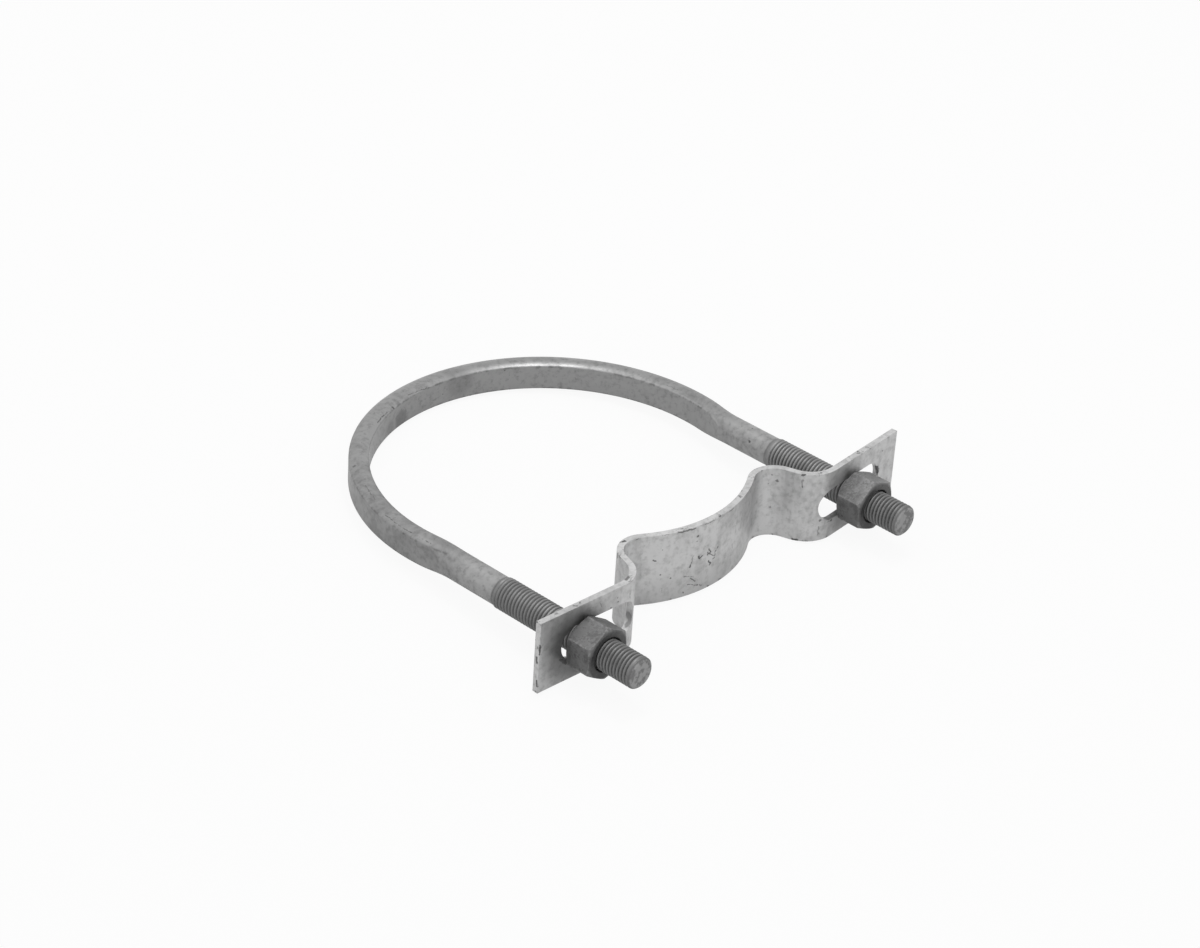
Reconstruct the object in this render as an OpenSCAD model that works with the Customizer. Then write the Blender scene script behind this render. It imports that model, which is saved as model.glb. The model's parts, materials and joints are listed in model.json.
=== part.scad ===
// Post clamp: a bent rod with threaded legs, a folded steel strap and two hexagon nuts.
// X runs across the two legs, Y from the nuts to the crown of the ring, Z along the post.
// The origin is the centre of the ring, half way up the rod.

/* [Rod] */
// diameter of the plain round part of each leg
shank_d = 14.6; // [12:0.1:15.6]
// distance between the centre lines of the two legs
leg_spacing = 188; // [184:1:190]
// width from inner flat to outer flat where the rod is pressed
pressed_w = 10; // [8:0.1:12]
// height of the pressed rod along the post
pressed_h = 16; // [15:0.1:17]

/* [Ring] */
// how far the centre line of the ring swells out past the centre line of each leg
ring_swell = 2; // [1:0.1:3]
// centre line radius of the outward bend that turns the ring into a leg
leg_bend_r = 86; // [60:1:120]
// how far past that bend the cut of the outer flat runs out of the rod
flat_runout = 7; // [4:0.5:12]
// length over which the pressed rod narrows to the plain shank
neck_len = 12; // [8:1:20]

/* [Thread] */
// outer diameter of the thread
thread_d = 16; // [15.8:0.1:16.4]
// distance from the post axis to the first turn of the thread
thread_start = 57; // [50:1:60]
// distance from the post axis to the free end of the left leg
leg_end = 145.1; // [145:0.1:150]
// how much shorter the right leg is, as the bar is bent a little off its middle
right_leg_short = 3.5; // [0:0.1:4]
// size of the bevel on the free end
end_bevel = 1.6; // [0.8:0.1:2.4]
// length of the cone where the thread rises from the shank
thread_rise = 1.4; // [0.8:0.1:3]

/* [Strap] */
// thickness of the strap
strap_t = 3.2; // [2.5:0.1:4]
// width of the strap, which stands along the post
strap_h = 37.5; // [32:0.5:42]
// how far each end plate reaches past the centre line of its leg
plate_reach = 31.2; // [26:0.1:36]
// distance from the centre line of a leg in to where the flat end plate starts
plate_start = 19.5; // [17:0.1:21]
// distance from the post axis to the middle of the saddle
saddle_y = 98.1; // [97:0.1:102]
// centre line radius of the saddle
saddle_r = 70; // [66:0.1:75]
// centre line radius of the crest on each side of the saddle
crest_r = 12.6; // [11:0.1:14]
// slope of the sides that lead back to the end plates
side_a = 72; // [68:0.5:74]
// straight length of each side
side_len = 4.7; // [3:0.1:7]
// centre line radius of the bend into each end plate
plate_bend_r = 15.1; // [13:0.1:17]
// angle by which each end plate leans toward the ring
plate_lean = 4; // [2:0.5:5]
// how far the loose strap sits off the middle of the legs
strap_shift = 3.1; // [0:0.1:4]
// how far the loose strap is turned about the post axis, as its two nuts stand unevenly
strap_turn = 0.8; // [0:0.1:1.2]

/* [Slots] */
// length of a slot from the centre line of the leg inward
slot_room_in = 28.2; // [24:0.1:29]
// length of a slot from the centre line of the leg outward
slot_room_out = 18; // [14:0.1:20]
// play between the thread and both long edges of a slot
slot_play = 2; // [1.4:0.1:3]

/* [Nuts] */
// width of a nut across its flats
nut_w = 24; // [23:0.1:27]
// height of a nut
nut_h = 15; // [14.1:0.1:16.4]
// turn of the left nut about its leg
left_turn = 30; // [0:1:59]
// turn of the right nut about its leg
right_turn = 38; // [0:1:59]
// slope of the bevel on the corners of a nut
nut_bevel_a = 30; // [20:1:35]
// radial play between the thread and the bore of a nut
bore_play = 0.05; // [0.02:0.01:0.09]

/* [Hidden] */
// smoothness of round surfaces
round_n = 96;
// small length that keeps cuts and joins clean
tiny = 0.01;
// gap left between pieces that lie against each other
seat_gap = 0.02;
// where lengths of different curves join, one runs into the other by this overlap
lap = 0.3;
// and is thinner than it by this much on every face
step = 0.02;
// half the distance between the legs
leg_x = leg_spacing / 2;
// centre line radius of the ring
ring_c = leg_x + ring_swell;
// radius of the inner face that lies against the post
ring_r = ring_c - pressed_w / 2;
// angle from the crown to the end of the ring
ring_a = 180 - asin((leg_x + leg_bend_r) / (ring_c + leg_bend_r));
// angle of the outward bend
leg_bend_a = ring_a - 90;
// centre of the outward bend
bend_x = (ring_c + leg_bend_r) * sin(ring_a);
bend_y = (ring_c + leg_bend_r) * cos(ring_a);
// where the cut of the outer flat ends
fade_y = bend_y - flat_runout;
// distance from the centre line of the leg to that end, clear of the rod
rod_half = pressed_h / 2 + 0.6;
// radius of the plain shank
shank_r = shank_d / 2;
// radius of the rod in the outward bend
neck_r = pressed_h / 2 - step;
// start of the flat end plate
plate_x = leg_x - plate_start;
// width that the crest, the side and the bend into the plate take up beside the saddle's own circle
folds_x = (crest_r + plate_bend_r) * sin(side_a) + side_len * cos(side_a) + plate_bend_r * sin(plate_lean);
// angle that the saddle sweeps on each side of the middle
saddle_a = asin((plate_x - folds_x) / (saddle_r + crest_r));
// end of the saddle and of each following bend, seen from above
saddle_end_x = saddle_r * sin(saddle_a);
saddle_end_y = -saddle_y + saddle_r * (1 - cos(saddle_a));
crest_x = saddle_end_x + crest_r * sin(saddle_a);
crest_y = saddle_end_y - crest_r * cos(saddle_a);
side_x = crest_x + crest_r * sin(side_a);
side_y = crest_y + crest_r * cos(side_a);
bend3_x = side_x + side_len * cos(side_a) + plate_bend_r * sin(side_a);
bend3_y = side_y - side_len * sin(side_a) + plate_bend_r * cos(side_a);
plate_y = bend3_y - plate_bend_r * cos(plate_lean);
plate_len = (plate_start + plate_reach) / cos(plate_lean);
// ends of the slots, from the middle of the strap
slot_in = leg_x - slot_room_in;
slot_out = leg_x + slot_room_out;
// height and depth of the slots
slot_h = thread_d + slot_play;
slot_depth = 4 * plate_bend_r;
// the legs lie on the lower edges of the slots
strap_z = slot_play / 2 - seat_gap;
// radius where the bevelled face of a nut begins
nut_face_r = nut_w / 2 * 0.95;
// half the distance across the corners of a nut
nut_corner_r = nut_w / 2 / cos(30);
// front of both end plates where they start
front_y = plate_y - strap_t / 2 / cos(plate_lean);

// where the seat face of a nut stands on its leg: it touches the turned strap at its inner edge;
// side is -1 on the left and 1 on the right
function seat_y(side) =
  let (start_x = side * plate_x + strap_shift)
  let (turned_x = start_x * cos(strap_turn) - front_y * sin(strap_turn))
  let (turned_y = start_x * sin(strap_turn) + front_y * cos(strap_turn))
  turned_y + (side * (leg_x - nut_face_r) - turned_x) * tan(side * plate_lean + strap_turn) - seat_gap;

// angle that a short length takes up on a bend of the given radius
function arc_angle(length, r) = length / r * 180 / PI;

left_nut_y = seat_y(-1);
right_nut_y = seat_y(1);

// section of the pressed rod
module pressed_section() {
  intersection() {
    circle(d = pressed_h, $fn = round_n);
    square([pressed_w, pressed_h + 1], center = true);
  }
}

// pressed ring, swept round the post
module ring_arc() {
  rotate([0, 0, 90 - ring_a])
    rotate_extrude(angle = 2 * ring_a, $fn = round_n)
      translate([ring_c, 0])
        pressed_section();
}

// outward bend between ring and leg, round all the way
module round_bend() {
  translate([bend_x, bend_y, 0])
    mirror([1, 0, 0])
      rotate_extrude(angle = leg_bend_a + arc_angle(lap, leg_bend_r), $fn = round_n)
        translate([leg_bend_r, 0])
          circle(r = neck_r, $fn = round_n);
}

// outline of one leg from its centre line outward: neck, shank, thread and bevel
module leg_profile(short) {
  thread_r = thread_d / 2;
  rise_start = thread_start + bend_y;
  free_end = leg_end - short + bend_y;
  polygon([
    [0, 0],
    [neck_r, 0],
    [shank_r, neck_len],
    [shank_r, rise_start],
    [thread_r, rise_start + thread_rise],
    [thread_r, free_end - end_bevel],
    [thread_r - end_bevel, free_end],
    [0, free_end]
  ]);
}

// straight leg, round all the way
module leg(short) {
  translate([leg_x, bend_y, 0])
    rotate([90, 0, 0])
      rotate_extrude($fn = round_n)
        leg_profile(short);
}

// cut of the outer flat, seen along the post, which runs out of the rod past the bend
module outer_cut_outline() {
  start_r = leg_bend_r - pressed_w / 2 + step;
  start_x = bend_x - start_r * cos(leg_bend_a);
  start_y = bend_y + start_r * sin(leg_bend_a);
  end_x = leg_x + rod_half;
  // the cutting line runs on behind its start by a third of its length
  back_x = start_x - (end_x - start_x) / 3;
  back_y = start_y - (fade_y - start_y) / 3;
  polygon([
    [back_x, back_y],
    [end_x, fade_y],
    [end_x + pressed_h, fade_y],
    [back_x + pressed_h, back_y]
  ]);
}

// outer flat
module outer_cut() {
  translate([0, 0, -pressed_h])
    linear_extrude(height = 2 * pressed_h)
      outer_cut_outline();
}

// inner flat: the face that the post lies against runs on until the leg leaves it
module inner_cut() {
  translate([0, 0, -pressed_h])
    cylinder(h = 2 * pressed_h, r = ring_r + step, $fn = round_n);
}

// outward bend with its fading flats
module faded_bend() {
  difference() {
    round_bend();
    outer_cut();
    inner_cut();
  }
}

// leg with the last of the fading flats
module faded_leg(short) {
  difference() {
    leg(short);
    outer_cut();
    inner_cut();
  }
}

// everything on one side of the ring
module rod_side(short) {
  faded_bend();
  faded_leg(short);
}

module u_bolt() {
  color([0.60, 0.61, 0.62])
    union() {
      ring_arc();
      rod_side(right_leg_short);
      mirror([1, 0, 0])
        rod_side(0);
    }
}

// section of the strap at distance r from the centre of a bend
module strap_section(r, thinner) {
  translate([r, 0])
    square([strap_t - 2 * thinner, strap_h - 2 * thinner], center = true);
}

// flat length of the strap along X from the origin
module strap_flat(length, thinner) {
  translate([length / 2, 0, 0])
    cube([length, strap_t - 2 * thinner, strap_h - 2 * thinner], center = true);
}

// crest and sloping side; the crest runs into the saddle, the side into the plate bend
module crest_and_side() {
  sweep = saddle_a + side_a + arc_angle(lap, crest_r);
  translate([side_x, side_y, 0])
    rotate([0, 0, -side_a]) {
      strap_flat(side_len + lap, step);
      translate([0, -crest_r, 0])
        rotate([0, 0, 90])
          rotate_extrude(angle = sweep, $fn = round_n)
            strap_section(crest_r, step);
    }
}

// end plate and the bend that leads into it
module end_plate() {
  translate([plate_x, plate_y, 0])
    rotate([0, 0, plate_lean]) {
      strap_flat(plate_len, 0);
      translate([0, plate_bend_r, 0])
        mirror([1, 0, 0])
          rotate([0, 0, -90])
            rotate_extrude(angle = side_a + plate_lean, $fn = round_n)
              strap_section(plate_bend_r, 0);
    }
}

// long hole that a leg passes through
module slot() {
  slot_r = slot_h / 2;
  slot_len = slot_out - slot_in - slot_h;
  translate([slot_in + slot_r, plate_y + slot_depth / 2, 0])
    rotate([90, 0, 0])
      cylinder(h = slot_depth, r = slot_r, $fn = round_n);
  translate([slot_out - slot_r, plate_y + slot_depth / 2, 0])
    rotate([90, 0, 0])
      cylinder(h = slot_depth, r = slot_r, $fn = round_n);
  translate([slot_in + slot_r, plate_y - slot_depth / 2, -slot_r])
    cube([slot_len, slot_depth, slot_h]);
}

module saddle_strap() {
  color([0.74, 0.75, 0.76])
    rotate([0, 0, strap_turn])
      translate([strap_shift, 0, strap_z])
        difference() {
          union() {
            translate([0, saddle_r - saddle_y, 0])
              rotate([0, 0, 270 - saddle_a])
                rotate_extrude(angle = 2 * saddle_a, $fn = round_n)
                  strap_section(saddle_r, 0);
            crest_and_side();
            end_plate();
            mirror([1, 0, 0]) {
              crest_and_side();
              end_plate();
            }
          }
          slot();
          mirror([1, 0, 0])
            slot();
        }
}

// one nut with its seat face at the origin and its body toward the free end of the leg
module nut(turn) {
  bore_r = thread_d / 2 + bore_play;
  lead_in = 0.7;
  bevel_h = (nut_corner_r - nut_face_r) * tan(nut_bevel_a);
  rotate([90, 0, 0])
    difference() {
      intersection() {
        rotate([0, 0, turn])
          cylinder(h = nut_h, r = nut_corner_r, $fn = 6);
        union() {
          cylinder(h = bevel_h, r1 = nut_face_r, r2 = nut_corner_r, $fn = round_n);
          translate([0, 0, bevel_h])
            cylinder(h = nut_h - 2 * bevel_h, r = nut_corner_r, $fn = round_n);
          translate([0, 0, nut_h - bevel_h])
            cylinder(h = bevel_h, r1 = nut_corner_r, r2 = nut_face_r, $fn = round_n);
        }
      }
      translate([0, 0, -1])
        cylinder(h = nut_h + 2, r = bore_r, $fn = round_n);
      translate([0, 0, -tiny])
        cylinder(h = lead_in, r1 = bore_r + lead_in, r2 = bore_r, $fn = round_n);
      translate([0, 0, nut_h - lead_in + tiny])
        cylinder(h = lead_in, r1 = bore_r, r2 = bore_r + lead_in, $fn = round_n);
    }
}

module left_nut() {
  color([0.42, 0.43, 0.44])
    translate([-leg_x, left_nut_y, 0])
      nut(left_turn);
}

module right_nut() {
  color([0.42, 0.43, 0.44])
    translate([leg_x, right_nut_y, 0])
      nut(right_turn);
}

u_bolt();
saddle_strap();
left_nut();
right_nut();
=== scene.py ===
"""Looks of the post clamp: threaded rod, worn strap and nuts, zinc finishes, floor, light and camera.

Places and lengths are in metres unless a comment says otherwise, and tones are linear grey levels.
"""

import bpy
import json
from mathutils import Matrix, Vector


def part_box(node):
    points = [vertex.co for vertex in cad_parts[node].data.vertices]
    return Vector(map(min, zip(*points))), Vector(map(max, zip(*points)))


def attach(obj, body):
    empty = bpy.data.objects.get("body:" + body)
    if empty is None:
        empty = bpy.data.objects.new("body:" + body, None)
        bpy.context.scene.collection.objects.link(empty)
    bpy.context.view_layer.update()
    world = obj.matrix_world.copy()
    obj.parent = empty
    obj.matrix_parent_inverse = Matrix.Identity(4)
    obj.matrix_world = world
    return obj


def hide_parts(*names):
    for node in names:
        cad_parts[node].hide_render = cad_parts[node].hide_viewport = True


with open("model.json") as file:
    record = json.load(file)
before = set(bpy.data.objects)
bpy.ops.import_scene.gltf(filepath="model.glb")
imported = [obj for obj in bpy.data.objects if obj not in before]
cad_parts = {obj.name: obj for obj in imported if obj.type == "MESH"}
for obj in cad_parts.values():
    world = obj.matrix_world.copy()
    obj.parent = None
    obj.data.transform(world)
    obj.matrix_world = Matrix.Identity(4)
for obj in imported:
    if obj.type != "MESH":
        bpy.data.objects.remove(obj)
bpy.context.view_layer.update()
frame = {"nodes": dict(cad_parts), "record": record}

import json
import math

import bmesh
import bpy
from bpy.props import FloatProperty, FloatVectorProperty, PointerProperty
from bpy.types import Operator, Panel, PropertyGroup
from mathutils import Matrix, Vector

bl_info = {
    "name": "Post clamp",
    "version": (1, 0, 0),
    "blender": (4, 5, 0),
    "location": "3D View > Sidebar > Post clamp",
    "description": "Threads, zinc finishes, floor, light and camera for the post clamp",
    "category": "Object",
}

MM = 0.001
MOUNTS = {mount["name"]: mount for mount in frame["record"]["mounts"]}
ROD_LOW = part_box("u_bolt")[0]
STRAP_LOW, STRAP_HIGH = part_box("saddle_strap")
STRAP_MIDDLE = (STRAP_LOW + STRAP_HIGH) / 2
POST_RADIUS = MOUNTS["post_clamp"]["dims"]["r_mm"] * MM
THREAD_RADIUS = MOUNTS["stud_ends"]["dims"]["stud_r_mm"] * MM
LEG_X = MOUNTS["stud_ends"]["dims"]["pcd_mm"] * MM / 2
RIGHT_END = -min(v.co.y for v in frame["nodes"]["u_bolt"].data.vertices if v.co.x > 0)
LEFT_END = -ROD_LOW.y
# the solid's round ring is a fine polygon, so the smooth ring stays this much inside it
FLAT_SHY = 0.00004
# how ragged the listed scratches are
RAGGED = 0.0009

# mesh of the rod: sections round the ring and the bend, and steps along the leg
RING_STEPS = 88
BEND_STEPS = 24
NECK_STEP = 0.0006
LEG_STEP = 0.0015
TURN_STEPS = 8
# angles of a section: where the flats' corners lie at least and on the round leg, and how wide they are
LEAST_CORNER = math.radians(7)
LEG_CORNER = math.radians(30)
CORNER_SPREAD = math.radians(5)
LEG_SPREAD = math.radians(15)
# thread: its fade in, its rise from the shank, its fade out, and the softness of its bevel
THREAD_FADE = 0.006
THREAD_RISE = 0.0022
THREAD_OUT = (0.0006, 0.0040)
BEVEL_SOFTNESS = 0.0004

# where the finishes change: the thread's start, the part outside the nuts, and the ring's creases
THREAD_EDGE = (0.0564, 0.0580)
FREE_EDGE = (0.118, 0.122)
RING_WIDTH = 0.0100
FLAT_EDGE = 0.0063
# the nuts' round faces inside their bevels, the bevel's angle, and the reach of the corners
NUT_FACE_RADIUS = 0.0114
NUT_BEVEL = math.radians(30)
NUT_CORNERS = (0.0133, 0.0137)
# the strap's flat plates lie beyond this
PLATE_EDGE = (0.1060, 0.1075)


# ---------------------------------------------------------------- shader maths


class Wire:
    """One output of a shader node, used in ordinary arithmetic."""

    def __init__(self, graph, socket):
        self.graph = graph
        self.socket = socket

    def maths(self, operation, *terms):
        return self.graph.add("ShaderNodeMath", {"operation": operation}, dict(enumerate(terms)))

    def __add__(self, other):
        return self.maths("ADD", self, other)

    def __radd__(self, other):
        return self.maths("ADD", other, self)

    def __sub__(self, other):
        return self.maths("SUBTRACT", self, other)

    def __rsub__(self, other):
        return self.maths("SUBTRACT", other, self)

    def __mul__(self, other):
        return self.maths("MULTIPLY", self, other)

    def __rmul__(self, other):
        return self.maths("MULTIPLY", other, self)

    def __truediv__(self, other):
        return self.maths("DIVIDE", self, other)

    def __pow__(self, other):
        return self.maths("POWER", self, other)

    def __neg__(self):
        return self.maths("MULTIPLY", self, -1.0)

    def __abs__(self):
        return self.maths("ABSOLUTE", self)

    def __gt__(self, other):
        return self.maths("GREATER_THAN", self, other)

    def least(self, other):
        return self.maths("MINIMUM", self, other)

    def most(self, other):
        return self.maths("MAXIMUM", self, other)

    def rise(self, low, high):
        """0 below low, 1 above high, and a smooth step between them."""
        return self.graph.add(
            "ShaderNodeMapRange",
            {"interpolation_type": "SMOOTHSTEP"},
            {"Value": self, "From Min": low, "From Max": high},
        )

    def fall(self, low, high):
        """1 below low, 0 above high."""
        return 1.0 - self.rise(low, high)


class Graph:
    """The node tree of one material or of the world."""

    def __init__(self, owner):
        owner.use_nodes = True
        self.tree = owner.node_tree
        self.tree.nodes.clear()

    def add(self, kind, settings=None, values=None, out=0):
        """Adds a node, sets its settings first and then its sockets, and gives one of its outputs."""
        node = self.tree.nodes.new(kind)
        for name, value in (settings or {}).items():
            setattr(node, name, value)
        for name, value in (values or {}).items():
            socket = node.inputs[name]
            if isinstance(value, Wire):
                self.tree.links.new(value.socket, socket)
            elif value is not None:
                socket.default_value = value
        return None if out is None else Wire(self, node.outputs[out])

    def place(self):
        """Object coordinates, in metres."""
        return self.add("ShaderNodeTexCoord", out="Object")

    def split(self, vector):
        """The three parts of a vector."""
        first = self.add("ShaderNodeSeparateXYZ", {}, {"Vector": vector})
        return [Wire(self, socket) for socket in first.socket.node.outputs]

    def join(self, x, y, z):
        return self.add("ShaderNodeCombineXYZ", {}, {"X": x, "Y": y, "Z": z})

    def vector_maths(self, operation, first, second, out="Vector"):
        return self.add("ShaderNodeVectorMath", {"operation": operation}, {0: first, 1: second}, out)

    def grow(self, vector, scale):
        return self.add("ShaderNodeVectorMath", {"operation": "SCALE"}, {0: vector, "Scale": scale})

    def gap(self, vector, point):
        """Distance from a point."""
        return self.vector_maths("DISTANCE", vector, point, "Value")

    def stroke(self, vector, start, end):
        """Distance from the straight line between two points."""
        run = end - start
        reach = self.vector_maths("SUBTRACT", vector, start)
        share = self.vector_maths("DOT_PRODUCT", reach, run / run.length_squared, "Value")
        return self.gap(reach, self.grow(run, share.most(0.0).least(1.0)))

    def wobble(self, vector, size, amount):
        """The place, pushed to and fro, so that a line drawn through it is ragged."""
        noise = {"Vector": vector, "Scale": 0.5 / size, "Detail": 3.0}
        push = self.add("ShaderNodeTexNoise", {}, noise, "Color")
        centred = self.vector_maths("SUBTRACT", push, (0.5, 0.5, 0.5))
        return self.vector_maths("ADD", vector, self.grow(centred, amount * 2))

    def scars(self, vector, scars):
        """1 on the listed scars, 0 off them; each has points and a half width in mm, and a strength."""
        ragged = self.wobble(vector, RAGGED, RAGGED)
        found = None
        for points, width, strength in scars:
            points = [Vector(point) * MM for point in points]
            if len(points) == 1:
                distance = self.gap(ragged, points[0])
            else:
                distance = self.stroke(ragged, points[0], points[1])
                for start, end in zip(points[1:], points[2:]):
                    distance = distance.least(self.stroke(ragged, start, end))
            scar = distance.fall(width * MM * 0.75, width * MM * 1.55) * strength
            found = scar if found is None else found.most(scar)
        return found

    def cloud(self, vector, size, detail=3.0, roughness=0.55, distortion=0.0):
        """Soft noise whose patches are about size across, from 0 to 1."""
        noise = {"Scale": 0.5 / size, "Detail": detail, "Roughness": roughness, "Distortion": distortion}
        return self.add("ShaderNodeTexNoise", {}, {"Vector": vector, **noise})

    def blend(self, factor, first, second):
        """Colour that goes from first to second; either one is a wire or a plain colour."""
        colours = [c if isinstance(c, Wire) else (*c, 1.0) for c in (first, second)]
        return self.add("ShaderNodeMix", {"data_type": "RGBA"}, {0: factor, 6: colours[0], 7: colours[1]}, 2)

    def spots(self, vector, spacing, radius, share):
        """Round spots on some of the cells of a scattered pattern: 1 inside, 0 outside."""
        cells = {"Vector": vector, "Scale": 1.0 / spacing, "Randomness": 1.0}
        distance = self.add("ShaderNodeTexVoronoi", {}, cells, "Distance")
        pick = self.split(self.add("ShaderNodeTexVoronoi", {}, cells, "Color"))
        size = radius / spacing * (0.5 + pick[1])
        return (pick[0] > 1.0 - share) * (distance / size).fall(0.75, 1.15)

    def finish(self, shader, target="ShaderNodeOutputMaterial"):
        """Ends the tree in its output node."""
        self.add(target, {}, {"Surface": shader}, None)


WHITE = (1.0, 1.0, 1.0, 1.0)


def new_material(name):
    material = bpy.data.materials.new(name)
    return material, Graph(material)


def metal(graph, colour, roughness, metallic, bump_height, bump_depth):
    """The metal shader of a finish, with a bump from a height between 0 and 1."""
    bump = graph.add("ShaderNodeBump", {}, {"Strength": 1.0, "Distance": bump_depth, "Height": bump_height})
    looks = {"Base Color": colour, "Roughness": roughness, "Metallic": metallic, "Normal": bump}
    return graph.add("ShaderNodeBsdfPrincipled", {}, looks)


def zinc_noise(graph, at, patch_size):
    """Patches, mottling and grain of a zinc coat."""
    patches = graph.cloud(at, patch_size, 4.0, 0.58, 0.2)
    mottle = graph.cloud(at, 0.0014, 3.0, 0.6)
    grain = graph.cloud(at, 0.0006, 2.0, 0.6)
    return patches, mottle, grain


# ---------------------------------------------------------------- sizes and colours


def length(name, description, default):
    return FloatProperty(name=name, description=description, default=default, unit="LENGTH", precision=5)


def amount(name, description, default):
    return FloatProperty(name=name, description=description, default=default, min=0.0)


def turn(name, description, degrees):
    return FloatProperty(name=name, description=description, default=math.radians(degrees), subtype="ANGLE")


def shade(name, description, default):
    return FloatVectorProperty(
        name=name, description=description, default=(default,) * 3, size=3, subtype="COLOR", min=0.0, max=1.0
    )


class RodSizes(PropertyGroup):
    """Sizes of the bent rod, as in the solid that it stands for."""

    shank: length("Shank", "Diameter of the plain leg", 0.0146)
    height: length("Pressed height", "Height of the pressed rod along the post", 0.016)
    width: length("Pressed width", "Width between the pressed flats", 0.010)
    swell: length("Ring swell", "How far the ring's centre line lies outside the legs", 0.002)
    bend: length("Bend radius", "Centre line radius of the bend from ring to leg", 0.086)
    runout: length("Flat run-out", "How far past the bend the outer flat's cut runs", 0.007)
    neck: length("Neck", "Length over which the last traces of the flats fade", 0.012)
    thread_start: length("Thread start", "Distance from the post axis to the thread", 0.057)
    pitch: length("Thread pitch", "Advance of the thread in one turn", 0.002)
    depth: length("Thread depth", "Depth of the zinc-filled thread under its crest", 0.00082)
    bevel: length("End bevel", "Size of the bevel on the free ends", 0.0016)
    corner: length("Corner softness", "How far the corners of the flats are rounded", 0.0005)


class RodColours(PropertyGroup):
    """Zinc on the rod."""

    zinc: shade("Zinc", "Middle tone of the zinc coat", 0.31)
    dark: shade("Dark zinc", "Dull patches of the zinc coat", 0.24)
    shank: shade("Shank", "Tone of the plain legs", 0.38)
    inside: shade("Inner flat", "Tone of the flat that faces the post", 0.34)
    # painted shade in the thread's roots, against lighter crests
    root: shade("Thread root", "Tone in the roots of the thread", 0.09)
    crest: shade("Thread crest", "Tone on the crests of the thread", 0.285)
    tip: shade("Free end", "Tone of the faces of the free ends", 0.33)
    mottle: shade("Mottling", "Tone of the mottling", 0.17)
    fleck: shade("Flecks", "Tone of the finest flecks", 0.14)
    crease: shade("Creases", "Tone of the creases along the flats", 0.10)
    pit: shade("Pits", "Tone of pits and scratches", 0.07)
    spot: shade("Dull spots", "Tone of the large dull spots", 0.11)
    # painted shade in the grooves outside the nuts
    groove: shade("Free grooves", "Tone of the grooves outside the nuts", 0.06)
    # painted shade on the thread's lower side, the left leg's outer side and the free ends
    shaded: shade("Shaded thread", "Tone of the thread's dull sides", 0.08)
    grime: shade("Thread grime", "Tone of dull patches on the thread", 0.115)
    rubbed: shade("Rubbed thread", "Tone of rubbed specks on the thread", 0.20)


class StrapFinish(PropertyGroup):
    """Edges and zinc of the strap."""

    edge: length("Broken edge", "Width of the worn edges", 0.00035)
    zinc: shade("Zinc", "Middle tone of the bright zinc coat", 0.61)
    dull: shade("Dull zinc", "Dull streaks of the coat", 0.45)
    mark: shade("Marks", "Tone of specks, scratches and nicks", 0.10)
    mottle: shade("Mottling", "Tone of the mottling", 0.30)
    fleck: shade("Flecks", "Tone of the finest flecks", 0.26)
    # painted shade on the saddle's lower part
    low: shade("Lower saddle", "Tone of the saddle's dull lower part", 0.30)
    # painted shade on the plates beside the nuts
    nut_shade: shade("Smudges", "Tone of the smudges round the nuts", 0.15)
    # partly wear and partly a painted highlight on the rims
    rim_wear_and_sheen: shade("Rims", "Tone of the worn rims", 0.60)


class NutFinish(PropertyGroup):
    """Edges and zinc of the nuts."""

    edge: length("Broken edge", "Width of the worn edges", 0.0004)
    zinc: shade("Zinc", "Middle tone of the dark zinc coat", 0.195)
    dark: shade("Dark zinc", "Tone of the dullest patches", 0.12)
    worn: shade("Worn zinc", "Tone of worn places", 0.26)
    # partly wear and partly a painted highlight on the edges
    edge_wear_and_sheen: shade("Worn edges", "Tone of the worn edges", 0.30)
    # painted light on the upper facets and painted shade on the lower ones
    upper: shade("Upper facets", "Tone of wear on the upper facets", 0.30)
    lower: shade("Lower facets", "Tone of dirt on the lower facets", 0.07)
    fleck: shade("Flecks", "Tone of the finest flecks", 0.085)
    speck: shade("Specks", "Tone of the round specks", 0.045)
    # painted shade on the outer face
    outer: shade("Outer face", "Tone of dirt on the outer face", 0.07)
    # painted shade inside the countersink
    sink: shade("Countersink", "Tone inside the countersink", 0.022)
    # strength of the painted light on each nut's upper facets
    left_upper_light: amount("Left wear", "Wear on the left nut's upper facets", 0.22)
    right_upper_light: amount("Right wear", "Wear on the right nut's upper facets", 0.72)


class StageSettings(PropertyGroup):
    """Floor, light and camera."""

    ring_rest: length("Ring rest", "Height of the lowest line of the rod", -0.0081)
    ring_touch: length("Ring touch", "Where the rod's crown touches the floor, along Y", 0.0960)
    strap_touch: length("Strap touch", "Where the strap touches the floor, along Y", -0.0831)
    lens: FloatProperty(name="Lens", description="Focal length in millimetres", default=103.59, min=20.0)
    azimuth: turn("Azimuth", "Turn of the camera about the post", -48.0529)
    elevation: turn("Elevation", "Height angle of the camera", 31.5033)
    roll: turn("Roll", "Turn of the camera about its view", 3.8133)
    distance: length("Camera distance", "Distance from the camera to its aim", 1.67367)
    aim: FloatVectorProperty(
        name="Aim",
        description="Point that the camera looks at",
        default=(0.014292, -0.015241, 0.0),
        subtype="XYZ",
        unit="LENGTH",
    )
    floor: shade("Floor", "Tone of the floor", 0.80)
    glow: amount("Floor glow", "How far the floor's own white hides its shade from the camera", 0.92)
    mirrored: amount("Mirrored floor", "How much of that white the metal mirrors", 0.33)
    daylight: amount("Daylight", "Level of the light from all round", 0.70)
    top_lamp: amount("Top lamp", "Power of the soft lamp overhead", 3.4)
    spot_lamp: amount("Spot lamp", "Power of the small lamp overhead", 2.8)


# ---------------------------------------------------------------- bent rod


def soft_least(a, b, softness):
    """The lesser of two radii, with a rounded change from one to the other."""
    h = min(1.0, max(0.0, 0.5 + 0.5 * (b - a) / softness))
    return b + (a - b) * h - softness * h * (1.0 - h)


def ease(value, low, high):
    t = min(1.0, max(0.0, (value - low) / (high - low)))
    return t * t * (3.0 - 2.0 * t)


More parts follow.
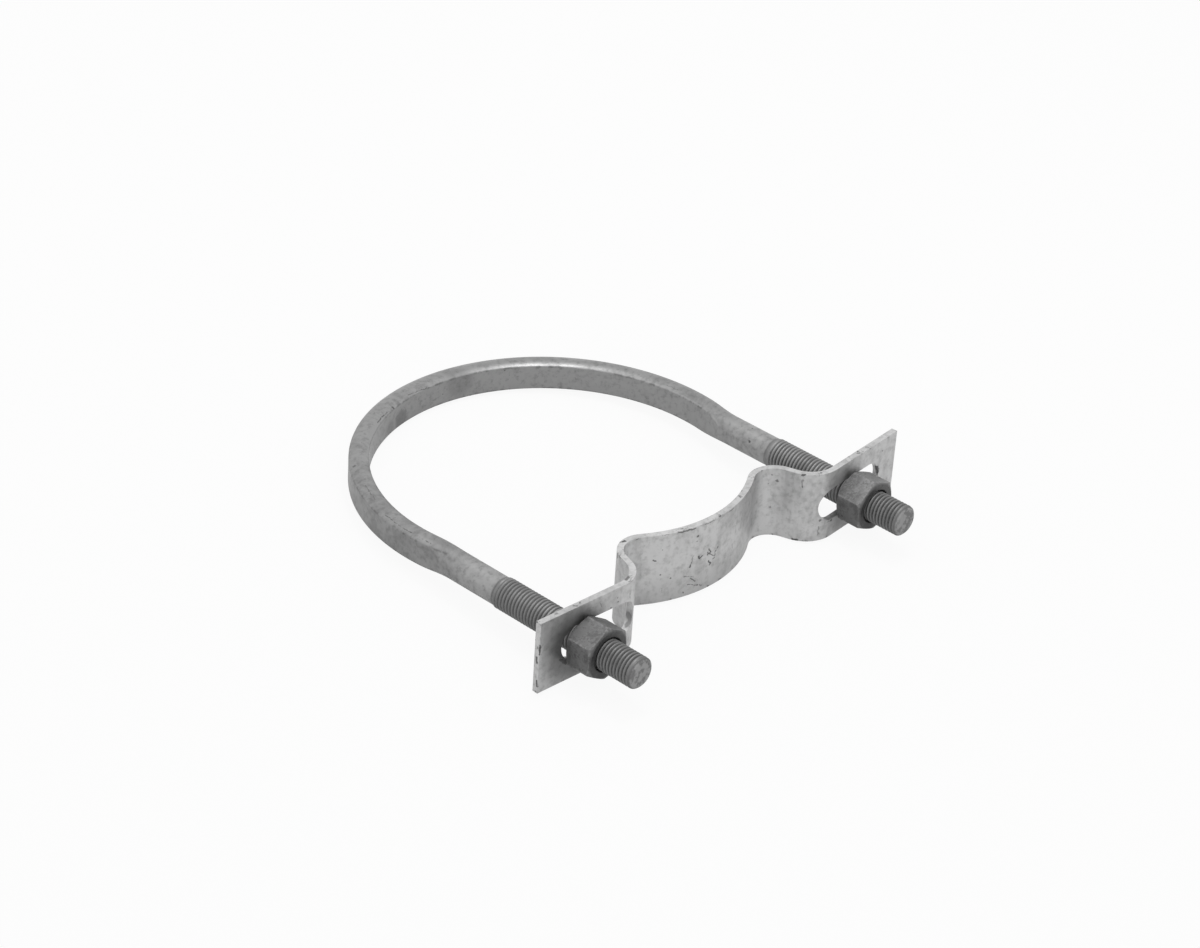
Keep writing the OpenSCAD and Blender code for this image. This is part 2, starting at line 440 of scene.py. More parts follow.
def quarter_angles(corner, spread):
    """Angles from the middle of a flat to the top of the rod, close together at the flat's corner."""
    knots = [0.0, corner - spread, corner + spread, math.pi / 2]
    counts = [4, 5, 7]
    angles = []
    for start, end, count in zip(knots, knots[1:], counts):
        angles += [start + (end - start) * i / count for i in range(count)]
    return angles


def section_angles(outer, inner):
    """Angles of one closed section, from the outer middle over the top and back, for two corner angles."""
    out = quarter_angles(*outer)
    back = quarter_angles(*inner)
    half = out + [math.pi / 2] + [math.pi - a for a in reversed(back)]
    lower = [2 * math.pi - a for a in reversed(half[1:-1])]
    return half + lower


class RodSide:
    """The rod from the crown to one free end; side is 1 for the right leg and -1 for the left."""

    def __init__(self, sizes, side):
        self.s = sizes
        self.side = side
        s = sizes
        self.ring_c = LEG_X + s.swell
        self.ring_angle = math.pi - math.asin((LEG_X + s.bend) / (self.ring_c + s.bend))
        self.bend_angle = self.ring_angle - math.pi / 2
        self.bend_x = (self.ring_c + s.bend) * math.sin(self.ring_angle)
        self.bend_y = (self.ring_c + s.bend) * math.cos(self.ring_angle)
        self.leg_end = RIGHT_END if side > 0 else LEFT_END
        start_r = s.bend - s.width / 2
        self.cut_start = Vector(
            (
                self.bend_x - start_r * math.cos(self.bend_angle),
                self.bend_y + start_r * math.sin(self.bend_angle),
            )
        )
        # the cut ends a little outside the leg
        self.cut_end = Vector((LEG_X + s.height / 2 + 0.0006, self.bend_y - s.runout))

    def flats(self, centre, normal):
        """Distances from the centre line to the outer and the inner flat, along the section's normal."""
        along = centre.dot(normal)
        root = along * along - centre.length_squared + POST_RADIUS * POST_RADIUS
        inner = along - math.sqrt(root) if root > 0 else 1.0
        line = self.cut_end - self.cut_start
        across = normal.x * line.y - normal.y * line.x
        gap = self.cut_start - centre
        outer = (gap.x * line.y - gap.y * line.x) / across if abs(across) > 1e-9 else 1.0
        return outer, inner

    def stations(self):
        """Centre, outward normal and round radius of each section up to the thread."""
        s = self.s
        rows = []
        for i in range(RING_STEPS + 1):
            a = self.ring_angle * i / RING_STEPS
            n = Vector((math.sin(a), math.cos(a)))
            c = n * self.ring_c
            rows.append((c, n, self.round_radius(c.y), (s.width / 2 - FLAT_SHY, s.width / 2)))
        for i in range(1, BEND_STEPS + 1):
            a = self.bend_angle * (1 - i / BEND_STEPS)
            n = Vector((math.cos(a), -math.sin(a)))
            c = Vector((self.bend_x, self.bend_y)) - n * s.bend
            rows.append((c, n, self.round_radius(c.y), self.flats(c, n)))
        y = self.bend_y
        while y > -s.thread_start + 0.0004:
            y -= NECK_STEP if y > self.bend_y - s.neck else LEG_STEP
            y = max(y, -s.thread_start)
            c, n = Vector((LEG_X, y)), Vector((1.0, 0.0))
            rows.append((c, n, self.round_radius(y), self.flats(c, n)))
        return rows

    def round_radius(self, y):
        """Radius of the round part of the section: the pressed rod narrows to the shank as its flats fade."""
        s = self.s
        narrow = ease(-y, -self.bend_y - s.bend * self.bend_angle - s.neck / 3, -self.bend_y + s.neck / 6)
        return s.height / 2 + (s.shank / 2 - s.height / 2) * narrow

    def point(self, centre, normal, angle, radius):
        out = centre + normal * (radius * math.cos(angle))
        return Vector((self.side * out.x, out.y, radius * math.sin(angle)))

    def ring_of_points(self, row):
        centre, normal, radius, flats = row
        corners = []
        for flat in flats:
            corner = math.acos(min(1.0, flat / radius)) if flat < radius else 0.0
            plain = ease(self.bend_y - centre.y, 0.004, 0.02)
            corner = max(corner, LEAST_CORNER) * (1 - plain) + LEG_CORNER * plain
            spread = CORNER_SPREAD + (LEG_SPREAD - CORNER_SPREAD) * plain
            corners.append((corner, spread))
        points = []
        for angle in section_angles(*corners):
            c = math.cos(angle)
            flat = flats[0] if c > 0 else flats[1]
            reach = flat / abs(c) if abs(c) > 1e-6 else 1.0
            r = soft_least(radius, reach, self.s.corner) if reach < radius + self.s.corner else radius
            points.append(self.point(centre, normal, angle, r))
        return points

    def thread_radius(self, phase, y):
        """Distance from the leg's axis to its surface at a phase of the thread, y along the leg."""
        s = self.s
        wave = 0.5 + 0.5 * math.cos(2 * math.pi * phase)
        # the relief fades in at the start and is shallow at the free end
        fade = ease(-y - s.thread_start, -0.001, THREAD_FADE)
        fade *= 0.3 + 0.7 * ease(self.leg_end + y, *THREAD_OUT)
        full = THREAD_RADIUS - s.depth * fade * (1.0 - wave) ** 1.5
        start = ease(-y - s.thread_start, 0.0, THREAD_RISE)
        radius = s.shank / 2 + (full - s.shank / 2) * start
        into = max(0.0, 1.0 - (self.leg_end + y) / s.bevel)
        bevel = THREAD_RADIUS - s.bevel * into ** 1.5
        return soft_least(radius, bevel, BEVEL_SOFTNESS)


def build_rod_half(bm, rod, first_ring=None):
    """Adds one side of the rod to the mesh and returns its first ring of points at the crown."""
    s = rod.s
    rows = rod.stations()
    rings = []
    for index, row in enumerate(rows):
        if index == 0 and first_ring:
            rings.append(first_ring)
            continue
        rings.append([bm.verts.new(p) for p in rod.ring_of_points(row)])
    n = len(rings[0])
    for a, b in zip(rings, rings[1:]):
        for j in range(n):
            k = (j + 1) % n
            face = [a[j], a[k], b[k], b[j]] if rod.side > 0 else [a[j], b[j], b[k], a[k]]
            bm.faces.new(face)
    # the thread runs on a grid that climbs one pitch in each turn, cut square at both ends
    step = s.pitch / TURN_STEPS
    start, end = s.thread_start, rod.leg_end
    axis_n = Vector((1.0, 0.0))
    angles = section_angles(*[(LEG_CORNER, LEG_SPREAD)] * 2)
    first = rings[-1]
    tip_centre = Vector((LEG_X, -end))
    tip_radius = THREAD_RADIUS - s.bevel
    last = [bm.verts.new(rod.point(tip_centre, axis_n, angle, tip_radius)) for angle in angles]
    made = {}

    def vertex(i, j):
        if j == n:
            i, j = i + rod.side * TURN_STEPS, 0
        along = start + i * step + rod.side * s.pitch * angles[j] / (2 * math.pi)
        if along <= start + 1e-7:
            return first[j]
        if along >= end - 1e-7:
            return last[j]
        if (i, j) not in made:
            radius = rod.thread_radius(i / TURN_STEPS, -along)
            made[i, j] = bm.verts.new(rod.point(Vector((LEG_X, -along)), axis_n, angles[j], radius))
        return made[i, j]

    turns = math.ceil((end - start) / s.pitch) + 2
    for i in range(-2 * TURN_STEPS, turns * TURN_STEPS):
        for j in range(n):
            corners = [vertex(i, j), vertex(i, j + 1), vertex(i + 1, j + 1), vertex(i + 1, j)]
            unique = []
            for v in corners:
                if v not in unique:
                    unique.append(v)
            if len(unique) < 3 or all(v in first for v in unique) or all(v in last for v in unique):
                continue
            if rod.side < 0:
                unique.reverse()
            bm.faces.new(unique)
    # the face of the free end, with a narrow ring of faces round it
    inner = [bm.verts.new(rod.point(tip_centre, axis_n, angle, tip_radius * 0.93)) for angle in angles]
    middle = bm.verts.new(rod.point(tip_centre, axis_n, 0.0, 0.0))
    for j in range(n):
        k = (j + 1) % n
        edge = [last[j], last[k], inner[k], inner[j]]
        cap = [inner[j], inner[k], middle]
        if rod.side < 0:
            edge.reverse()
            cap.reverse()
        bm.faces.new(edge)
        bm.faces.new(cap)
    return rings[0]


# dull spots of the rod in metres: where, how far round, how strong
DULL_SPOTS = (
    ((-0.0200, 0.0888, -0.0027), 0.0070, 0.55),
    ((0.0204, 0.0887, 0.0030), 0.0095, 0.30),
    ((-0.0301, 0.0859, -0.0027), 0.0050, 0.35),
)
# scratches and pits of the rod in millimetres: their points, half width and strength
ROD_SCARS = (
    (((87.7, -46.5, 3.7),), 0.65, 0.9),
    (((93.7, -42.9, 7.3),), 0.35, 0.8),
    (((-26.9, 87.9, 6.9),), 0.7, 0.8),
    (((-42.5, 81.9, 7.1), (-37.6, 84.3, 6.9), (-31.9, 86.1, 6.8)), 0.22, 0.7),
    (((-13.2, 91.6, 7.2), (0.2, 91.3, 6.6)), 0.20, 0.6),
    (((-79.4, 58.9, 7.5),), 0.75, 0.6),
    (((-87.4, 42.4, 7.9), (-92.8, 29.6, 7.9)), 0.22, 0.5),
    (((43.4, 80.0, 5.4),), 0.35, 0.8),
    (((47.9, 77.3, 5.5),), 0.35, 0.7),
    (((-97.7, 17.5, 7.3), (-99.2, 2.0, 7.1), (-98.4, -14.5, 7.0)), 0.20, 0.75),
    (((93.0, 33.0, 7.5), (94.6, 27.6, 7.6)), 0.20, 0.6),
    (((92.3, 13.7, 7.5), (93.0, 6.7, 7.5)), 0.20, 0.5),
)


def rod_material(look):
    """Mottled zinc with small pits and dark creases along the flats, darker in the thread, with painted shade
    in its roots, on its lower and outer sides and at the free ends.
    """
    material, g = new_material("zinc on the rod")
    at = g.place()
    x, y, z = g.split(at)
    out = (x * x + y * y) ** 0.5
    from_leg = ((abs(x) - LEG_X) ** 2.0 + z * z) ** 0.5
    thread = (-y).rise(*THREAD_EDGE)
    crest = from_leg.rise(THREAD_RADIUS - 0.00095, THREAD_RADIUS - 0.00005)
    free = (-y).rise(*FREE_EDGE)
    # the face of each free end, which stands at its own distance
    tip = (-y - (LEFT_END - (x > 0.0) * (LEFT_END - RIGHT_END))).rise(-0.0011, -0.0002)
    drift = g.cloud(at, 0.024, 2.0)
    patches, mottle, grain = zinc_noise(g, at, 0.0055)
    dull = (drift * 0.36 + patches * 0.34 + mottle * 0.30).rise(0.40, 0.60)
    colour = g.blend(dull, look.zinc, look.dark)
    shank = (-y).rise(0.026, 0.040) * 0.75
    colour = g.blend(shank * (1.0 - dull * 0.6), colour, look.shank)
    # the inner flat gets a tone of its own, in uneven patches
    inside = out.fall(POST_RADIUS + 0.0003, POST_RADIUS + 0.0012) * (-y).fall(0.030, 0.050)
    colour = g.blend(inside * (0.45 + patches.rise(0.45, 0.65) * 0.45), colour, look.inside)
    colour = g.blend(mottle.rise(0.46, 0.72) * 0.34, colour, look.mottle)
    colour = g.blend((grain * 0.5 + mottle * 0.5).rise(0.54, 0.68) * 0.32, colour, look.fleck)
    inner_crease = ((out - POST_RADIUS) ** 2.0 + (abs(z) - FLAT_EDGE) ** 2.0) ** 0.5
    outer_crease = ((out - POST_RADIUS - RING_WIDTH) ** 2.0 + (abs(z) - FLAT_EDGE) ** 2.0) ** 0.5
    crease = inner_crease.least(outer_crease).fall(0.0001, 0.0010) * (-y).fall(0.034, 0.045)
    colour = g.blend(crease * patches.rise(0.40, 0.60) * mottle.rise(0.38, 0.60) * 0.60, colour, look.crease)
    pits = g.spots(at, 0.0055, 0.00036, 0.34).most(g.spots(at, 0.0024, 0.00018, 0.16) * 0.7)
    colour = g.blend(pits * 0.70 * (1.0 - thread), colour, look.pit)
    # painted shade in the thread's roots, lighter on the crests
    thread_tone = g.blend(crest, look.root, look.crest)
    # more painted shade in the grooves outside the nuts
    thread_tone = g.blend(free * (1.0 - crest) * 0.50, thread_tone, look.groove)
    # painted shade on the thread's lower side, the left leg's outer side and the free ends
    shaded = free.most(z.fall(-0.006, 0.001)).most((-x).rise(LEG_X + 0.003, LEG_X + 0.008))
    thread_tone = g.blend(shaded * 0.32, thread_tone, look.shaded)
    thread_tone = g.blend(patches.rise(0.46, 0.66) * 0.45, thread_tone, look.grime)
    thread_tone = g.blend(mottle.rise(0.50, 0.66) * 0.35, thread_tone, look.rubbed)
    colour = g.blend(thread, colour, thread_tone)
    colour = g.blend(tip * (1.0 - mottle.rise(0.44, 0.62) * 0.65), colour, look.tip)
    for point, radius, strength in DULL_SPOTS:
        spot = (g.gap(at, point) + (mottle - 0.5) * radius * 1.4).fall(radius * 0.5, radius)
        colour = g.blend(spot * strength, colour, look.spot)
    scars = g.scars(at, ROD_SCARS)
    colour = g.blend(scars, colour, look.pit)
    roughness = 0.28 + patches * 0.18 + thread * 0.14 + pits * 0.2
    height = patches * 0.30 + mottle * 0.40 + grain * 0.30 - pits * 0.8 - scars * 0.6
    g.finish(metal(g, colour, roughness, metallic=0.86, bump_height=height, bump_depth=0.00014))
    return material


class POSTCLAMP_OT_bent_rod(Operator):
    """Build the bent rod with its pressed flats and threads"""

    bl_idname = "post_clamp.bent_rod"
    bl_label = "Bent rod"

    def execute(self, context):
        sizes = context.scene.post_clamp_rod
        bm = bmesh.new()
        crown = build_rod_half(bm, RodSide(sizes, 1))
        build_rod_half(bm, RodSide(sizes, -1), crown)
        bmesh.ops.recalc_face_normals(bm, faces=bm.faces)
        mesh = bpy.data.meshes.new("bent_rod")
        bm.to_mesh(mesh)
        bm.free()
        mesh.shade_smooth()
        mesh.set_sharp_from_angle(angle=math.radians(50))
        rod = bpy.data.objects.new("bent_rod", mesh)
        context.scene.collection.objects.link(rod)
        rod.data.materials.append(rod_material(context.scene.post_clamp_rod_colours))
        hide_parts("u_bolt")
        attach(rod, "u_bolt")
        return {"FINISHED"}


# ---------------------------------------------------------------- strap and nuts


def break_edges(node, width):
    """Clean flat faces and rounded edges on a carried-over solid."""
    flat = node.modifiers.new("flat faces", "DECIMATE")
    flat.decimate_type = "DISSOLVE"
    flat.angle_limit = math.radians(0.6)
    bevel = node.modifiers.new("broken edges", "BEVEL")
    bevel.width = width
    bevel.segments = 3
    bevel.limit_method = "ANGLE"
    bevel.angle_limit = math.radians(25)
    bevel.use_clamp_overlap = True
    bevel.harden_normals = True
    node.data.shade_smooth()
    node.data.set_sharp_from_angle(angle=math.radians(25))


def dress(node, material):
    node.data.materials.clear()
    node.data.materials.append(material)


# scratches, specks and nicks of the strap in millimetres: their points, half width and strength
STRAP_SCARS = (
    (((-9.1, -98.5, 3.8), (-10.2, -98.3, 3.4), (-10.0, -98.4, 1.1), (-11.0, -98.2, -1.9)), 0.22, 0.75),
    (((-11.0, -98.2, -1.9),), 0.45, 0.8),
    (((-6.5, -98.9, 2.2), (-5.3, -99.1, 0.8), (-4.2, -99.2, 1.8)), 0.42, 0.85),
    (((0.2, -99.6, 3.8), (1.5, -99.6, 1.9), (-0.7, -99.5, 1.3)), 0.36, 0.8),
    (((-0.8, -99.5, 2.3), (3.5, -99.6, -1.3)), 0.25, 0.8),
    (((6.5, -99.6, 2.3), (4.5, -99.6, 0.6), (4.6, -99.6, -2.2), (3.2, -99.6, -3.0)), 0.26, 0.8),
    (((6.5, -99.6, 2.3),), 0.55, 0.85),
    (((0.3, -99.6, -2.7), (1.9, -99.6, -4.8), (1.1, -99.6, -5.3)), 0.36, 0.85),
    (((-14.3, -97.4, -6.4), (-8.5, -98.6, -8.3)), 0.22, 0.55),
    (((-10.4, -98.3, -8.5), (-8.9, -98.6, -9.6), (-7.3, -98.8, -11.0)), 0.28, 0.75),
    (((-11.6, -98.0, -11.5), (-2.8, -99.4, -15.1)), 0.26, 0.75),
    (((-13.6, -97.6, -15.5),), 0.45, 0.7),
    (((-30.0, -91.3, 6.2), (-28.6, -92.1, 5.8)), 0.30, 0.85),
    (((-7.6, -98.8, 13.9),), 0.50, 0.8),
    (((-8.1, -98.7, 11.3),), 0.35, 0.5),
    (((-26.0, -93.3, -2.4),), 0.40, 0.7),
    (((-21.1, -95.3, -5.4),), 0.45, 0.7),
    (((-24.7, -93.8, -10.1), (-24.7, -93.9, -12.5)), 0.22, 0.5),
    (((19.0, -97.9, -2.1), (19.3, -97.9, -4.5)), 0.22, 0.4),
    (((-18.4, -96.2, 19.3), (-9.5, -98.5, 18.9)), 0.38, 0.7),
    (((-4.0, -99.2, 18.9), (2.5, -99.6, 19.0)), 0.24, 0.55),
    (((12.9, -99.0, 19.0), (16.3, -98.5, 18.9)), 0.26, 0.6),
    (((-44.6, -84.8, 19.7), (-43.2, -85.1, 19.7)), 0.60, 0.95),
    (((-53.3, -90.2, 19.3), (-53.4, -90.2, 17.5)), 0.42, 0.9),
    (((-74.1, -110.3, 14.7),), 0.35, 0.7),
    (((-73.6, -110.3, 12.1),), 0.42, 0.8),
    (((-65.7, -110.2, 13.3), (-65.4, -110.1, 10.8)), 0.22, 0.6),
    (((-77.8, -110.1, 10.6),), 0.42, 0.7),
    (((56.6, -87.4, 16.3),), 0.42, 0.6),
    (((58.7, -89.3, 12.9),), 0.60, 0.65),
    (((55.4, -86.6, 11.1),), 0.30, 0.5),
    (((57.2, -87.8, -2.1),), 0.40, 0.5),
    (((63.6, -100.5, 19.4), (64.3, -101.4, 19.7)), 0.60, 0.85),
    (((63.8, -100.7, 16.7), (63.9, -100.9, 12.9)), 0.40, 0.45),
    (((63.9, -100.9, 12.9),), 0.50, 0.7),
    (((62.8, -99.0, -17.4), (63.8, -100.8, -17.4)), 0.60, 0.9),
    (((72.0, -107.4, -6.4),), 0.70, 0.7),
    (((71.5, -107.2, -9.9), (71.5, -107.2, -14.7)), 0.30, 0.45),
    (((75.5, -107.5, -8.3), (79.6, -108.3, -8.9)), 0.50, 0.85),
    (((115.4, -105.0, 4.9), (116.4, -105.1, 2.9), (115.6, -105.2, 0.0)), 0.95, 0.85),
    (((-120.6, -107.7, 7.7), (-120.6, -107.7, 3.6)), 0.60, 0.9),
    (((-120.6, -106.2, 6.5),), 0.50, 0.6),
    (((-120.6, -106.2, 1.0), (-120.6, -106.4, -1.6)), 0.55, 0.85),
    (((-120.6, -107.0, -11.5), (-120.6, -107.2, -14.0)), 0.50, 0.85),
    (((-120.6, -104.7, 9.7),), 0.40, 0.6),
    (((-109.4, -106.1, 19.7),), 0.70, 0.5),
    (((-84.5, -109.7, 15.9), (-83.8, -109.7, 13.6)), 0.18, 0.55),
    (((-89.1, -109.4, 15.8),), 0.30, 0.4),
    (((-107.4, -108.4, -5.0), (-104.0, -108.6, -8.3)), 0.70, 0.75),
    (((-61.7, -106.3, -1.8), (-62.4, -108.8, -3.5), (-64.1, -108.4, -5.7)), 1.10, 0.45),
)


# painted shade on the plates beside the nuts: their middles along X in metres, and their strength
NUT_SHADES = ((-LEG_X - 0.004, 0.74), (LEG_X, 0.40))


def strap_material(look):
    """Bright zinc with dull upright streaks, dark specks, scratches and nicked edges."""
    material, g = new_material("zinc on the strap")
    at = g.place()
    x, y, z = g.split(at)
    drift = g.cloud(at, 0.030, 2.0)
    streaks = g.cloud(g.join(x, y, z * 0.14), 0.0040, 4.0, 0.6)
    patches, mottle, grain = zinc_noise(g, at, 0.0060)
    dull = (drift * 0.26 + streaks * 0.30 + patches * 0.22 + mottle * 0.22).rise(0.42, 0.60)
    colour = g.blend(dull, look.zinc, look.dull)
    colour = g.blend(mottle.rise(0.46, 0.72) * 0.26, colour, look.mottle)
    colour = g.blend((grain * 0.5 + mottle * 0.5).rise(0.54, 0.68) * 0.22, colour, look.fleck)
    # painted shade: the saddle darker towards its lower edge, and the plates darker round the nuts
    saddle_low_shade = z.fall(-0.016, 0.002) * abs(x).fall(0.030, 0.050)
    colour = g.blend(saddle_low_shade * 0.34, colour, look.low)
    for middle, strength in NUT_SHADES:
        # painted shade round each nut, ragged at its edge
        from_nut = ((x - middle) ** 2.0 + z * z) ** 0.5
        nut_shade = (from_nut + (patches - 0.5) * 0.010).fall(0.012, 0.025) * (-y).rise(*PLATE_EDGE)
        colour = g.blend(nut_shade * strength, colour, look.nut_shade)
    specks = g.spots(at, 0.0080, 0.00042, 0.46)
    flecks = g.spots(at, 0.0034, 0.00020, 0.20)
    marks = (specks * 0.80).most(flecks * 0.55)
    marks = marks.most(g.scars(at, STRAP_SCARS))
    # wear along the upper and the lower edge, and a painted highlight on the rims
    from_rim = (STRAP_HIGH.z - STRAP_LOW.z) / 2 - abs(z - STRAP_MIDDLE.z)
    colour = g.blend(from_rim.fall(0.0002, 0.0009) * 0.10, colour, look.rim_wear_and_sheen)
    nicks = from_rim.fall(0.0004, 0.0014) * g.cloud(at, 0.0030, 4.0, 0.7, 0.8).rise(0.57, 0.66)
    marks = marks.most(nicks * 0.80)
    colour = g.blend(marks, colour, look.mark)
    roughness = 0.32 + patches * 0.16 + marks * 0.3
    height = patches * 0.42 + mottle * 0.28 + grain * 0.20 - marks * 0.5
    g.finish(metal(g, colour, roughness, metallic=0.86, bump_height=height, bump_depth=0.00013))
    return material


def nut_material(look, axis_x, outer_y, upper_light):
    """Dark zinc, worn lighter in places, with edges lighter from wear and a painted highlight, painted light
    on the upper facets, painted shade on the lower facets and the outer face, and painted shade in the
    countersink round the thread.
    """
    material, g = new_material("zinc on the nuts")
    at = g.place()
    x, y, z = g.split(at)
    radius = ((x - axis_x) ** 2.0 + z * z) ** 0.5
    depth = y - outer_y
    patches = g.cloud(at, 0.0046, 4.0, 0.62, 0.3)
    worn = g.cloud(at, 0.0014, 3.0, 0.62)
    grain = g.cloud(at, 0.0006, 2.0, 0.6)
    colour = g.blend(patches.rise(0.44, 0.60), look.zinc, look.dark)
    colour = g.blend(worn.rise(0.50, 0.70) * 0.55, colour, look.worn)
    # painted light on the upper facets, made uneven, and painted shade on the lower ones
    uneven = 0.45 + worn.rise(0.36, 0.60) * 0.75
    colour = g.blend(z.rise(0.000, 0.010) * upper_light * uneven, colour, look.upper)
    colour = g.blend(z.fall(-0.010, 0.000) * 0.28, colour, look.lower)
    # lighter edges: partly wear, partly a painted highlight
    corner = radius.rise(*NUT_CORNERS)
    from_bevel = abs(depth - (radius - NUT_FACE_RADIUS) * math.tan(NUT_BEVEL) - 0.0002)
    shoulder = from_bevel.fall(0.0002, 0.0006) * radius.rise(0.0118, 0.0121)
    edges = corner.most(shoulder) * worn.rise(0.36, 0.54)
    colour = g.blend(edges * 0.75, colour, look.edge_wear_and_sheen)
    colour = g.blend((grain * 0.5 + worn * 0.5).rise(0.49, 0.62) * 0.55, colour, look.fleck)
    colour = g.blend(g.spots(at, 0.0032, 0.00035, 0.30) * 0.7, colour, look.speck)
    # painted shade on the outer face, which faces away from the light
    colour = g.blend(depth.fall(0.0001, 0.0010) * 0.65, colour, look.outer)
    # painted shade inside the countersink round the thread, which the bump also sinks
    sink = radius.fall(THREAD_RADIUS + 0.0001, THREAD_RADIUS + 0.0011)
    colour = g.blend(sink * 0.85, colour, look.sink)
    roughness = 0.44 + patches * 0.18
    height = patches * 0.25 + grain * 0.40 + worn * 0.45 - sink * 3.0
    g.finish(metal(g, colour, roughness, metallic=0.76, bump_height=height, bump_depth=0.00014))
    return material


class POSTCLAMP_OT_saddle_strap(Operator):
    """Give the folded strap its broken edges and its bright zinc"""

    bl_idname = "post_clamp.saddle_strap"
    bl_label = "Saddle strap"

    def execute(self, context):
        look = context.scene.post_clamp_strap
        strap = frame["nodes"]["saddle_strap"]
        dress(strap, strap_material(look))
        break_edges(strap, look.edge)
        return {"FINISHED"}


class POSTCLAMP_OT_nuts(Operator):
    """Give both hexagon nuts their broken edges and their dark zinc"""

    bl_idname = "post_clamp.nuts"
    bl_label = "Nuts"

    def execute(self, context):
        look = context.scene.post_clamp_nuts
        for name, upper_light in (("left_nut", look.left_upper_light), ("right_nut", look.right_upper_light)):
            nut = frame["nodes"][name]
            low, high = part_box(name)
            dress(nut, nut_material(look, (low.x + high.x) / 2, low.y, upper_light))
            break_edges(nut, look.edge)
        return {"FINISHED"}


# ---------------------------------------------------------------- stage


def seen_directly(g, mirrored=1.0):
    """1 for camera rays, mirrored for glossy and transmitted rays, 0 for the light that falls on things."""
    kinds = ("Is Camera Ray", "Is Glossy Ray", "Is Transmission Ray")
    camera, glossy, through = [g.add("ShaderNodeLightPath", out=kind) for kind in kinds]
    return camera.most(glossy * mirrored).most(through * mirrored)


def floor_material(stage):
    """Pale matt floor that reads as white but keeps a soft shadow."""
    material, g = new_material("pale floor")
    matt = g.add("ShaderNodeBsdfDiffuse", {}, {"Color": (*stage.floor, 1.0), "Roughness": 0.5})
    glow = g.add("ShaderNodeEmission", {}, {"Color": WHITE, "Strength": 1.0})
    share = seen_directly(g, stage.mirrored) * stage.glow
    g.finish(g.add("ShaderNodeMixShader", {}, {0: share, 1: matt, 2: glow}))
    return material


def add_lamp(name, place, aim, size, power):
    light = bpy.data.lights.new(name, "AREA")
    light.shape = "SQUARE"
    light.size = size
    light.energy = power
    lamp = bpy.data.objects.new(name, light)
    lamp.location = place
    lamp.rotation_mode = "QUATERNION"
    lamp.rotation_quaternion = (Vector(place) - Vector(aim)).to_track_quat("Z", "Y")
    bpy.context.scene.collection.objects.link(lamp)


def add_camera(stage):
    """The camera at the photograph's angle."""
    a, e, roll = stage.azimuth, stage.elevation, stage.roll
    back = Vector((math.sin(a) * math.cos(e), -math.cos(a) * math.cos(e), math.sin(e)))
    right = (-back).cross(Vector((0.0, 0.0, 1.0))).normalized()
    up = right.cross(-back)
    turned_right = right * math.cos(roll) + up * math.sin(roll)
    turned_up = up * math.cos(roll) - right * math.sin(roll)
    data = bpy.data.cameras.new("camera")
    data.sensor_fit = "HORIZONTAL"
    data.sensor_width = 36.0
    data.lens = stage.lens
    data.clip_start = 0.05
    data.clip_end = 50.0
    camera = bpy.data.objects.new("camera", data)
    place = Vector(stage.aim) + back * stage.distance
    facing = Matrix((turned_right, turned_up, back)).transposed()
    camera.matrix_world = Matrix.Translation(place) @ facing.to_4x4()
    bpy.context.scene.collection.objects.link(camera)
    bpy.context.scene.camera = camera


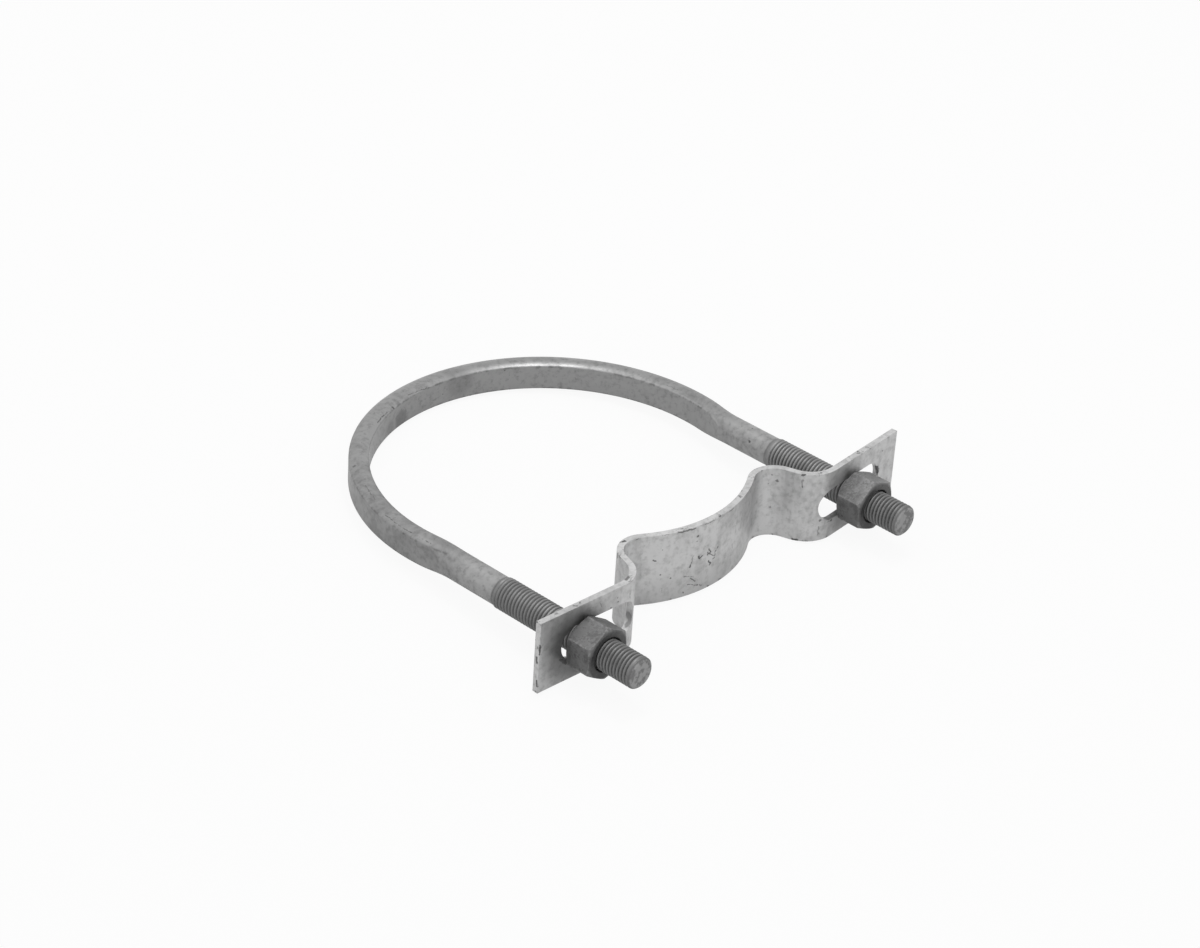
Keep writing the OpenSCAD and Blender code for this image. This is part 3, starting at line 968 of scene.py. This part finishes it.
class POSTCLAMP_OT_stage(Operator):
    """Make the floor under the clamp, the soft light and the camera"""

    bl_idname = "post_clamp.stage"
    bl_label = "Stage"

    def execute(self, context):
        stage = context.scene.post_clamp_stage
        # the clamp rests on the strap's lower edge and on the under side of the ring's crown
        front = Vector((0.0, stage.strap_touch, STRAP_LOW.z - 0.0001))
        back = Vector((0.0, stage.ring_touch, stage.ring_rest))
        slope = math.atan2(back.z - front.z, back.y - front.y)
        bpy.ops.mesh.primitive_grid_add(x_subdivisions=8, y_subdivisions=8, size=16.0)
        floor = context.active_object
        floor.name = "floor"
        floor.location = front
        floor.rotation_euler = (slope, 0.0, 0.0)
        floor.data.materials.append(floor_material(stage))

        world = bpy.data.worlds.new("studio")
        context.scene.world = world
        g = Graph(world)
        soft = g.add("ShaderNodeBackground", {}, {"Color": WHITE, "Strength": stage.daylight})
        white = g.add("ShaderNodeBackground", {}, {"Color": WHITE, "Strength": 1.0})
        sky = g.add("ShaderNodeMixShader", {}, {0: seen_directly(g), 1: soft, 2: white})
        g.finish(sky, "ShaderNodeOutputWorld")
        # a broad soft lamp, and a small one that makes the highlight on the ring's crown
        add_lamp("top lamp", (-0.15, -0.10, 1.30), (0.0, 0.0, 0.0), 1.6, stage.top_lamp)
        add_lamp("spot lamp", (0.12, -0.05, 1.30), (0.06, 0.07, 0.0), 0.24, stage.spot_lamp)
        add_camera(stage)
        context.scene.view_settings.view_transform = "Standard"
        return {"FINISHED"}


class POSTCLAMP_PT_panel(Panel):
    """Lists the pieces of the post clamp"""

    bl_label = "Post clamp"
    bl_idname = "POSTCLAMP_PT_panel"
    bl_space_type = "VIEW_3D"
    bl_region_type = "UI"
    bl_category = "Post clamp"

    def draw(self, context):
        for operator in OPERATORS:
            self.layout.operator(operator.bl_idname)


SETTINGS = {
    "post_clamp_rod": RodSizes,
    "post_clamp_rod_colours": RodColours,
    "post_clamp_strap": StrapFinish,
    "post_clamp_nuts": NutFinish,
    "post_clamp_stage": StageSettings,
}
OPERATORS = (POSTCLAMP_OT_bent_rod, POSTCLAMP_OT_saddle_strap, POSTCLAMP_OT_nuts, POSTCLAMP_OT_stage)


def register():
    for name, group in SETTINGS.items():
        bpy.utils.register_class(group)
        setattr(bpy.types.Scene, name, PointerProperty(type=group))
    for operator in OPERATORS:
        bpy.utils.register_class(operator)
    bpy.utils.register_class(POSTCLAMP_PT_panel)


def unregister():
    bpy.utils.unregister_class(POSTCLAMP_PT_panel)
    for operator in reversed(OPERATORS):
        bpy.utils.unregister_class(operator)
    for name, group in SETTINGS.items():
        delattr(bpy.types.Scene, name)
        bpy.utils.unregister_class(group)


def main():
    register()
    bpy.ops.post_clamp.bent_rod()
    bpy.ops.post_clamp.saddle_strap()
    bpy.ops.post_clamp.nuts()
    bpy.ops.post_clamp.stage()


if __name__ == "__main__":
    main()
